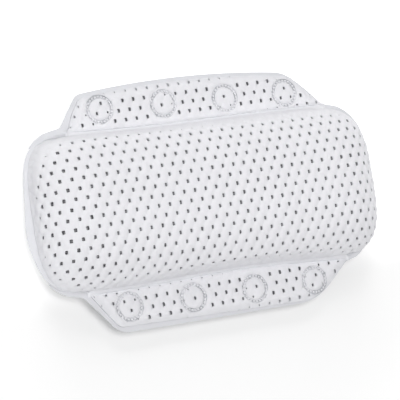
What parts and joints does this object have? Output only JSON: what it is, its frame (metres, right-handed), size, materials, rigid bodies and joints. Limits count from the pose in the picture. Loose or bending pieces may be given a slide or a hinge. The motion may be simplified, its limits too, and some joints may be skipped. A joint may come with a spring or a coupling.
{
  "type": "bath pillow",
  "caption": "Domed bath pillow of perforated soft foam sheet on a smooth back, with folding flanges along both long sides that carry suction cups behind toothed weld rings.",
  "frame": {"origin": "middle of the plane that the suction cups' lips press on, below the middle of the cushion", "axes": "+X along the pillow, +Y towards the upper flange, +Z out of the wall towards the dome's crown"},
  "size_m": [0.356, 0.22, 0.0513],
  "materials": {
    "foam_mesh": "soft foamed PVC sheet, matt, perforated, with rounded bumps between the holes",
    "back_film": "smooth soft PVC sheet with a fused rim",
    "fibre": "loose polyester fibre wadding",
    "weld": "fused PVC, pressed glossy by the welding tool",
    "suction_cup": "clear soft PVC moulding, glossy and slightly milky"
  },
  "bodies": {
    "cushion": {"front_cover": "foam_mesh", "fibre_filling": "fibre", "back_panel": "back_film", "upper_seam_weld": "weld", "lower_seam_weld": "weld"},
    "upper_flange": {"upper_flange_mesh": "foam_mesh", "upper_flange_backing": "back_film", "weld_ring_upper_1": "weld", "weld_ring_upper_2": "weld", "weld_ring_upper_3": "weld", "weld_ring_upper_4": "weld"},
    "lower_flange": {"lower_flange_mesh": "foam_mesh", "lower_flange_backing": "back_film", "weld_ring_lower_1": "weld", "weld_ring_lower_2": "weld", "weld_ring_lower_3": "weld", "weld_ring_lower_4": "weld"},
    "cup_upper_1": {"suction_cup_upper_1": "suction_cup"},
    "cup_upper_2": {"suction_cup_upper_2": "suction_cup"},
    "cup_upper_3": {"suction_cup_upper_3": "suction_cup"},
    "cup_upper_4": {"suction_cup_upper_4": "suction_cup"},
    "cup_lower_1": {"suction_cup_lower_1": "suction_cup"},
    "cup_lower_2": {"suction_cup_lower_2": "suction_cup"},
    "cup_lower_3": {"suction_cup_lower_3": "suction_cup"},
    "cup_lower_4": {"suction_cup_lower_4": "suction_cup"}
  },
  "joints": [
    {"name": "upper_flange_fold", "type": "hinge", "parent": "cushion", "child": "upper_flange", "pos_m": [0, 0.075, 0.01245], "axis": [-1, 0, 0], "range_deg": [-45, 75], "stiffness_Nm_per_rad": 0.4},
    {"name": "lower_flange_fold", "type": "hinge", "parent": "cushion", "child": "lower_flange", "pos_m": [0, -0.075, 0.01245], "axis": [1, 0, 0], "range_deg": [-45, 75], "stiffness_Nm_per_rad": 0.4},
    {"name": "cup_upper_1_press", "type": "slide", "parent": "upper_flange", "child": "cup_upper_1", "axis": [0, 0, 1], "range_m": [0, 0.004], "stiffness_N_per_m": 300, "deforming": ["suction_cup_upper_1"]},
    {"name": "cup_upper_2_press", "type": "slide", "parent": "upper_flange", "child": "cup_upper_2", "axis": [0, 0, 1], "range_m": [0, 0.004], "stiffness_N_per_m": 300, "deforming": ["suction_cup_upper_2"]},
    {"name": "cup_upper_3_press", "type": "slide", "parent": "upper_flange", "child": "cup_upper_3", "axis": [0, 0, 1], "range_m": [0, 0.004], "stiffness_N_per_m": 300, "deforming": ["suction_cup_upper_3"]},
    {"name": "cup_upper_4_press", "type": "slide", "parent": "upper_flange", "child": "cup_upper_4", "axis": [0, 0, 1], "range_m": [0, 0.004], "stiffness_N_per_m": 300, "deforming": ["suction_cup_upper_4"]},
    {"name": "cup_lower_1_press", "type": "slide", "parent": "lower_flange", "child": "cup_lower_1", "axis": [0, 0, 1], "range_m": [0, 0.004], "stiffness_N_per_m": 300, "deforming": ["suction_cup_lower_1"]},
    {"name": "cup_lower_2_press", "type": "slide", "parent": "lower_flange", "child": "cup_lower_2", "axis": [0, 0, 1], "range_m": [0, 0.004], "stiffness_N_per_m": 300, "deforming": ["suction_cup_lower_2"]},
    {"name": "cup_lower_3_press", "type": "slide", "parent": "lower_flange", "child": "cup_lower_3", "axis": [0, 0, 1], "range_m": [0, 0.004], "stiffness_N_per_m": 300, "deforming": ["suction_cup_lower_3"]},
    {"name": "cup_lower_4_press", "type": "slide", "parent": "lower_flange", "child": "cup_lower_4", "axis": [0, 0, 1], "range_m": [0, 0.004], "stiffness_N_per_m": 300, "deforming": ["suction_cup_lower_4"]}
  ]
}
